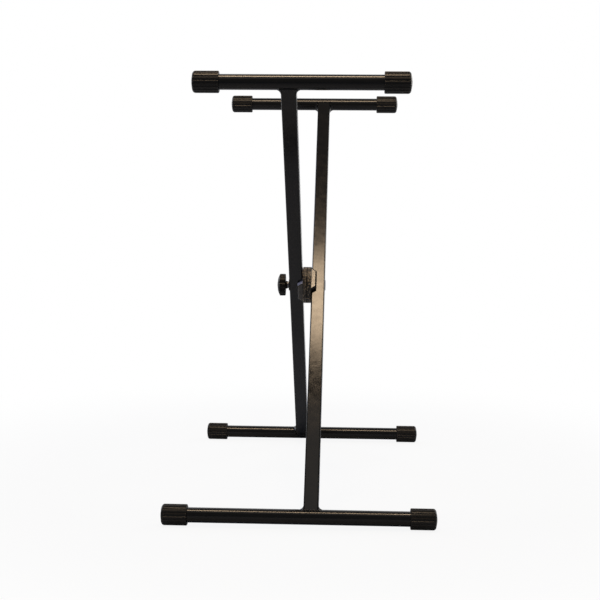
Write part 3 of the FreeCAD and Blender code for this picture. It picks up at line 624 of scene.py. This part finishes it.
# Knob: neck, lobed rim with rounded edges, and a domed face with a ring round a shallow middle
KNOB_RADIUS = 20.5 * MM
KNOB_NECK = 7.25 * MM
KNOB_NECK_LENGTH = 3.4 * MM
KNOB_NECK_ROUND = 0.5 * MM
KNOB_RIM = 11.2 * MM
KNOB_DOME = 4.8 * MM
KNOB_EDGE = 1.6 * MM
KNOB_EDGE_STEPS = 6
KNOB_STEM = 5.2 * MM
KNOB_STEM_DEPTH = 11.0 * MM
LOBE_COUNT = 10
LOBE_POINTS = 24
LOBE_RADIUS = 5.5 * MM
LOBE_DEPTH = 1.3 * MM
LOBE_SOFT = 0.35 * MM
FACE_CLEARANCE = 0.01 * MM
FACE_RING_SINK = 0.5 * MM
# Rings on the knob's face: shares of its radius, and within the face ring also shares of the sink
FACE_OUTER_SHARES = (0.97, 0.9, 0.8, 0.7, 0.63)
FACE_INNER_SHARES = ((0.60, 0.15), (0.57, 0.85), (0.53, 1.0), (0.4, 1.0), (0.25, 1.0), (0.1, 1.0))


def lobe_radii():
    """Radius of the knob's rim at each point round it, with softened finger hollows."""
    centre = KNOB_RADIUS + LOBE_RADIUS - LOBE_DEPTH
    radii = []
    for point in range(LOBE_POINTS):
        turn = pitch_share(point, LOBE_POINTS) * FULL_TURN / LOBE_COUNT
        inside = LOBE_RADIUS ** 2 - (centre * math.sin(turn)) ** 2
        hollow = KNOB_RADIUS + LOBE_SOFT
        if inside > 0:
            hollow = centre * math.cos(turn) - math.sqrt(inside)
        gap = max(LOBE_SOFT - abs(hollow - KNOB_RADIUS), 0.0) / LOBE_SOFT
        radii.append(min(hollow, KNOB_RADIUS) - gap * gap * LOBE_SOFT / 4)
    return radii * LOBE_COUNT


def make_knob():
    """Knob along its own X axis, turned to face left."""
    rim = lobe_radii()
    count = len(rim)
    back = KNOB_NECK_LENGTH
    front = back + KNOB_RIM
    shoulder = KNOB_RADIUS - KNOB_EDGE
    ball = (shoulder ** 2 + KNOB_DOME ** 2) / (2 * KNOB_DOME)

    def face(reach):
        return front + KNOB_DOME - ball + math.sqrt(ball ** 2 - reach ** 2)

    def edge_ring(along, turn):
        return ring_at(along, [radius - KNOB_EDGE * (1 - math.cos(turn)) for radius in rim])

    stem_and_neck = ((KNOB_STEM_DEPTH, KNOB_STEM), (0.0, KNOB_STEM),
                     (0.0, KNOB_NECK - KNOB_NECK_ROUND), (KNOB_NECK_ROUND, KNOB_NECK),
                     (back - KNOB_NECK_ROUND, KNOB_NECK), (back, KNOB_NECK + KNOB_NECK_ROUND))
    rings = [ring_at(along, [radius] * count) for along, radius in stem_and_neck]
    for turn in reversed(quarter_turns(KNOB_EDGE_STEPS)):
        rings.append(edge_ring(back + KNOB_EDGE * (1 - math.sin(turn)), turn))
    for turn in quarter_turns(KNOB_EDGE_STEPS):
        rings.append(edge_ring(front - KNOB_EDGE * (1 - math.sin(turn)), turn))
    for share in FACE_OUTER_SHARES:
        reach = shoulder * share
        within = [min(reach, radius - KNOB_EDGE - FACE_CLEARANCE) for radius in rim]
        rings.append(ring_at(face(reach), within))
    for share, sink_share in FACE_INNER_SHARES:
        reach = shoulder * share
        rings.append(ring_at(face(reach) - FACE_RING_SINK * sink_share, [reach] * count))
    mesh = skin("lobed_knob", rings, KNOB_PLASTIC)
    seat = Vector((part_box("knob")[1].x, PIVOT.y, PIVOT.z))
    matrix = Matrix.Translation(seat) @ Matrix.Rotation(math.pi, 4, "Z")
    place_piece("knob_lobed", mesh, matrix, "knob", "knob")


# Clutch spring: round wire wound on a helix, at its rest length
SPRING_WIRE = 1.2 * MM
SPRING_TURNS = 4
SPRING_STEPS = 40
WIRE_POINTS = 12


def make_spring():
    """Spring between the seat washer and the right half's pocket."""
    low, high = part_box("clutch_spring")
    length = high.x - low.x
    radius = (high.z - low.z - SPRING_WIRE) / 2
    start = low.x + SPRING_WIRE / 2
    run = length - SPRING_WIRE
    steps = SPRING_TURNS * SPRING_STEPS
    rings = []
    for step in range(steps + 1):
        share = step / steps
        turn = FULL_TURN * SPRING_TURNS * share
        out = Vector((0, math.sin(turn), math.cos(turn)))
        centre = Vector((start + run * share, PIVOT.y, PIVOT.z)) + out * radius
        ring = []
        for point in range(WIRE_POINTS):
            angle = FULL_TURN * point / WIRE_POINTS
            ring.append(centre + (out * math.cos(angle) + ACROSS * math.sin(angle)) * SPRING_WIRE / 2)
        rings.append(ring)
    mesh = skin("wound_spring", rings, ZINC)
    spring = place_piece("clutch_spring_wound", mesh, Matrix.Identity(4), "right_frame",
                         "clutch_spring")
    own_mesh(spring)


make_caps()
make_welds()
make_knob()
make_spring()


# Floor, light and camera

FLOOR_RADIUS = 8.0
FLOOR_SEGMENTS = 96
FLOOR_COLOUR = (0.54, 0.60, 0.70, 1.0)
FLOOR_WHITE_SHARE = 0.90
FLOOR_NEAR = 0.45
FLOOR_FAR = 1.1
WORLD_COLOUR = (0.96, 0.98, 1.0, 1.0)
WORLD_STRENGTH = 0.26
BACKDROP_LOW = 0.35
BACKDROP_HIGH = 0.75
WHITE = (1.0, 1.0, 1.0, 1.0)
SMOOTH = "SMOOTHSTEP"


def backdrop_share(tree, place, low, high):
    """Share of the white backdrop that gloss shows: none in front of the stand, all of it behind."""
    axes = tree.nodes.new("ShaderNodeSeparateXYZ")
    tree.links.new(place, axes.inputs["Vector"])
    return spread(tree, axes.outputs["Y"], 0.0, 1.0, low, high, SMOOTH)


def with_white(tree, seen_share, gloss_share, lit, white_kind):
    """Shader that is white to the camera and through glass by one share, and in gloss by another."""
    path = tree.nodes.new("ShaderNodeLightPath")
    factor = combine(tree, "MAXIMUM", path.outputs["Is Camera Ray"], path.outputs["Is Transmission Ray"])
    if seen_share:
        factor = combine(tree, "MULTIPLY", factor, seen_share)
    gloss = combine(tree, "MULTIPLY", path.outputs["Is Glossy Ray"], gloss_share)
    white = tree.nodes.new(white_kind)
    white.inputs["Color"].default_value = WHITE
    white.inputs["Strength"].default_value = 1.0
    mix = tree.nodes.new("ShaderNodeMixShader")
    tree.links.new(combine(tree, "MAXIMUM", factor, gloss), mix.inputs["Fac"])
    tree.links.new(lit, mix.inputs[1])
    tree.links.new(white.outputs[0], mix.inputs[2])
    return mix.outputs["Shader"]


def make_floor():
    """Pale floor that takes the stand's shadow and runs into the white ground."""
    shape = bmesh.new()
    bmesh.ops.create_circle(shape, cap_ends=True, segments=FLOOR_SEGMENTS, radius=FLOOR_RADIUS)
    mesh = bpy.data.meshes.new("floor")
    shape.to_mesh(mesh)
    shape.free()
    floor = bpy.data.objects.new("floor", mesh)
    bpy.context.scene.collection.objects.link(floor)
    material, tree, shader = new_material("pale_floor", specular=0.0)
    shader.inputs["Base Color"].default_value = FLOOR_COLOUR
    shader.inputs["Roughness"].default_value = 1.0
    place = tree.nodes.new("ShaderNodeTexCoord")
    reach = tree.nodes.new("ShaderNodeVectorMath")
    reach.operation = "LENGTH"
    tree.links.new(place.outputs["Object"], reach.inputs[0])
    fade = spread(tree, reach.outputs["Value"], FLOOR_WHITE_SHARE, 1.0, FLOOR_NEAR, FLOOR_FAR, SMOOTH)
    behind = backdrop_share(tree, place.outputs["Object"], FLOOR_FAR, 2 * FLOOR_FAR)
    tree.links.new(with_white(tree, fade, behind, shader.outputs["BSDF"], "ShaderNodeEmission"),
                   tree.nodes["Material Output"].inputs["Surface"])
    mesh.materials.append(material)


def make_world():
    """Even grey surroundings, white to the camera, and in gloss behind the stand."""
    world = bpy.data.worlds.new("studio")
    world.use_nodes = True
    tree = world.node_tree
    grey = tree.nodes["Background"]
    grey.inputs["Color"].default_value = WORLD_COLOUR
    grey.inputs["Strength"].default_value = WORLD_STRENGTH
    place = tree.nodes.new("ShaderNodeTexCoord")
    behind = backdrop_share(tree, place.outputs["Generated"], BACKDROP_LOW, BACKDROP_HIGH)
    tree.links.new(with_white(tree, None, behind, grey.outputs["Background"], "ShaderNodeBackground"),
                   tree.nodes["World Output"].inputs["Surface"])
    bpy.context.scene.world = world


def make_light(name, spot, aim, width, height, power, colour):
    """Soft box that faces a point."""
    data = bpy.data.lights.new(name, "AREA")
    data.shape = "RECTANGLE"
    data.size = width
    data.size_y = height
    data.energy = power
    data.color = colour
    light = bpy.data.objects.new(name, data)
    bpy.context.scene.collection.objects.link(light)
    facing = (Vector(aim) - Vector(spot)).to_track_quat("-Z", "Y").to_matrix().to_4x4()
    light.matrix_world = Matrix.Translation(spot) @ facing


# Soft boxes: a warm one overhead, a weak fill in front, and two behind the stand on either side
HEART = (0.0, 0.0, PIVOT.z)
LIGHTS = {
    "overhead": {"spot": (-0.08, -0.40, 2.15), "aim": (-0.08, -0.30, 0.0), "width": 1.0, "height": 0.28,
                 "power": 29.0, "colour": (1.0, 0.75, 0.50)},
    "front_fill": {"spot": (-0.08, -1.15, 2.2), "aim": (0.0, -0.25, 0.2), "width": 1.0, "height": 0.8,
                   "power": 2.2, "colour": (1.0, 0.92, 0.84)},
    "cool_left": {"spot": (-1.6, 0.8, 1.66), "aim": HEART, "width": 0.5, "height": 0.5,
                  "power": 5.0, "colour": (0.66, 0.68, 1.0)},
    "warm_right": {"spot": (1.7, 0.7, 1.5), "aim": HEART, "width": 0.6, "height": 0.6,
                   "power": 7.0, "colour": (1.0, 0.88, 0.76)},
    "back_right": {"spot": (1.9, 1.6, 1.2), "aim": HEART, "width": 1.2, "height": 1.2,
                   "power": 16.0, "colour": (1.0, 0.94, 0.88)},
    "back_left": {"spot": (-1.9, 1.6, 1.2), "aim": HEART, "width": 1.2, "height": 1.2,
                  "power": 16.0, "colour": (0.92, 0.95, 1.0)},
}
CAMERA_SPOT = (0.0824, -2.2618, 0.5844)
CAMERA_SENSOR = 36.0
CAMERA_LENS = 72.667
CAMERA_YAW = math.radians(2.432)
CAMERA_PITCH = math.radians(6.128)
CAMERA_ROLL = math.radians(0.415)


def make_camera():
    """Camera where the photograph was taken from."""
    data = bpy.data.cameras.new("camera")
    data.sensor_width = CAMERA_SENSOR
    data.lens = CAMERA_LENS
    camera = bpy.data.objects.new("camera", data)
    bpy.context.scene.collection.objects.link(camera)
    heading = Euler((math.pi / 2 - CAMERA_PITCH, 0.0, CAMERA_YAW)).to_matrix().to_4x4()
    camera.matrix_world = Matrix.Translation(CAMERA_SPOT) @ heading @ Matrix.Rotation(CAMERA_ROLL, 4, "Z")
    bpy.context.scene.camera = camera


make_floor()
make_world()
for name, light in LIGHTS.items():
    make_light(name, **light)
make_camera()
bpy.context.scene.view_settings.view_transform = "Standard"
